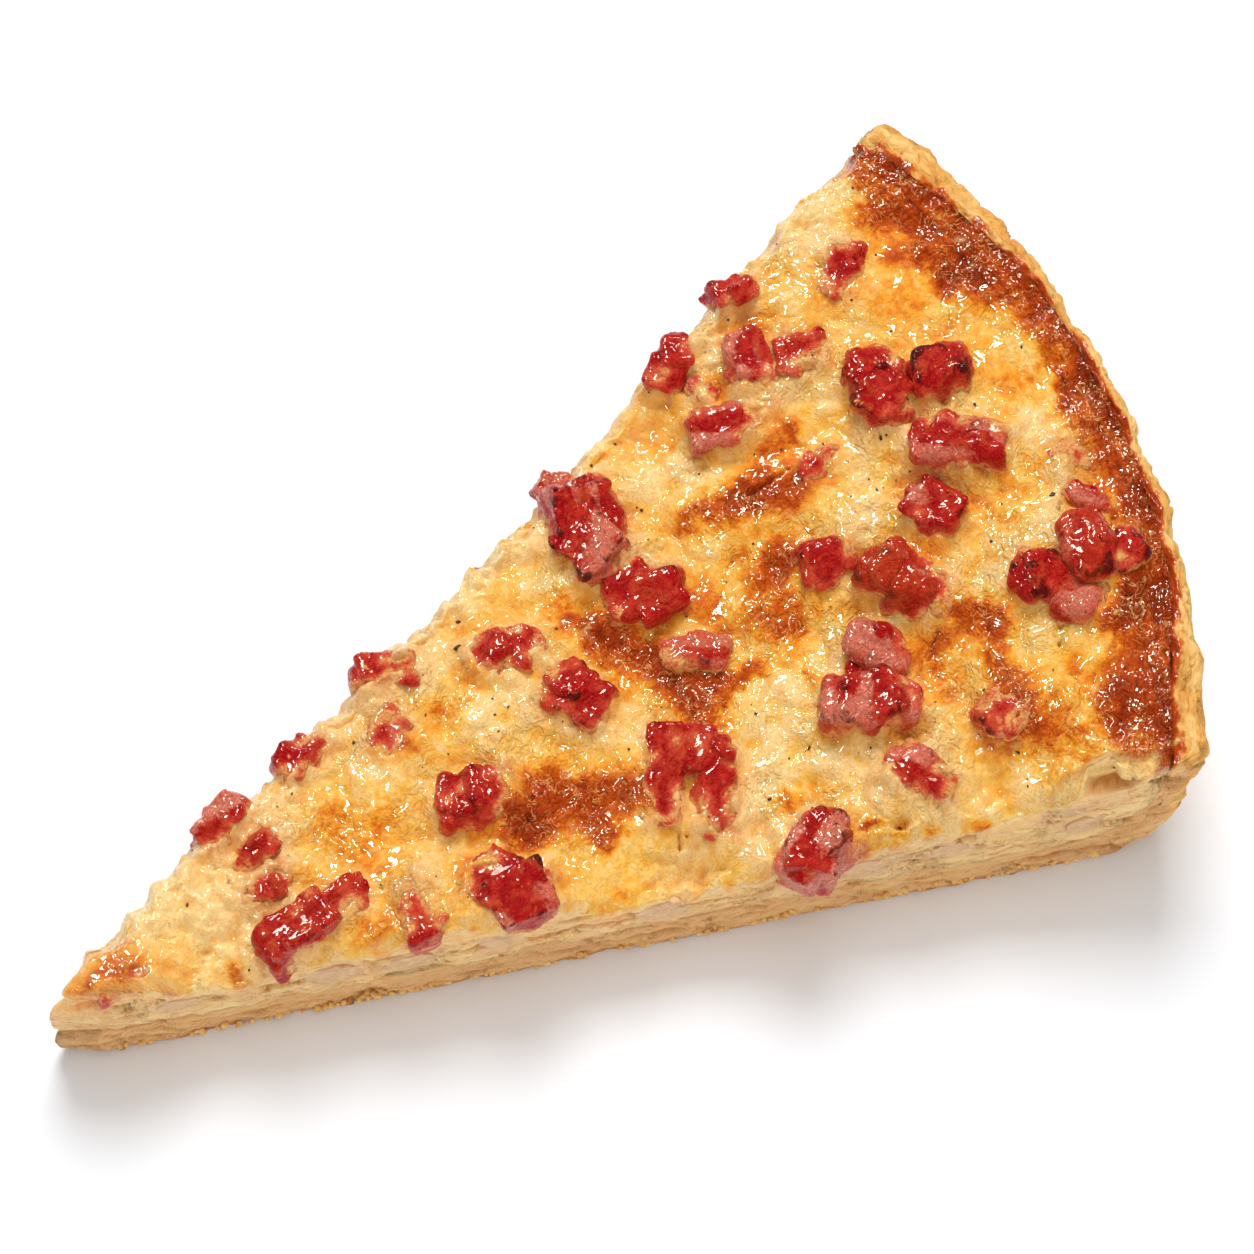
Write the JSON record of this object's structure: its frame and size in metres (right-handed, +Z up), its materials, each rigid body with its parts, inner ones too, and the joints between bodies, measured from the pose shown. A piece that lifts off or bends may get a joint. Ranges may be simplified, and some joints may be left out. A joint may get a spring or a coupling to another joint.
{
  "type": "quiche lorraine slice",
  "caption": "Wedge of baked egg custard tart in a shortcrust shell, topped with fried bacon lardons, with ham showing at the cut.",
  "frame": {"origin": "middle of the slice's box, on the table", "axes": "+X from the point to the crust along the slice's axis, +Z up, -Y towards the near cut"},
  "size_m": [0.1309, 0.0818, 0.0266],
  "materials": {
    "pastry": "baked shortcrust, pale gold, browned at its edges",
    "custard": "set egg custard, pale yellow at the cut, glossy and browned on top",
    "bacon": "fried smoked bacon, red to pink, charred at its corners",
    "ham": "cooked ham, pinkish beige"
  },
  "bodies": {
    "root": {"pastry_shell": "pastry", "custard_filling": "custard", "lardon_01": "bacon", "lardon_02": "bacon", "lardon_03": "bacon", "lardon_04": "bacon", "lardon_05": "bacon", "lardon_06": "bacon", "lardon_07": "bacon", "lardon_08": "bacon", "lardon_09": "bacon", "lardon_10": "bacon", "lardon_11": "bacon", "lardon_12": "bacon", "lardon_13": "bacon", "lardon_14": "bacon", "lardon_15": "bacon", "lardon_16": "bacon", "lardon_17": "bacon", "lardon_18": "bacon", "lardon_19": "bacon", "lardon_20": "bacon", "lardon_21": "bacon", "lardon_22": "bacon", "lardon_23": "bacon", "lardon_24": "bacon", "lardon_25": "bacon", "lardon_26": "bacon", "lardon_27": "bacon", "lardon_28": "bacon", "lardon_29": "bacon", "lardon_30": "bacon", "lardon_31": "bacon", "lardon_32": "bacon", "lardon_33": "bacon", "lardon_34": "bacon", "lardon_35": "bacon", "lardon_36": "bacon", "lardon_37": "bacon", "lardon_38": "bacon", "lardon_39": "bacon", "lardon_40": "bacon", "lardon_41": "bacon", "lardon_42": "bacon", "lardon_43": "bacon", "lardon_44": "bacon", "ham_1": "ham", "ham_2": "ham", "ham_3": "ham", "ham_4": "ham", "ham_5": "ham", "ham_6": "ham", "ham_7": "ham", "ham_8": "ham", "ham_9": "ham"}
  },
  "joints": []
}
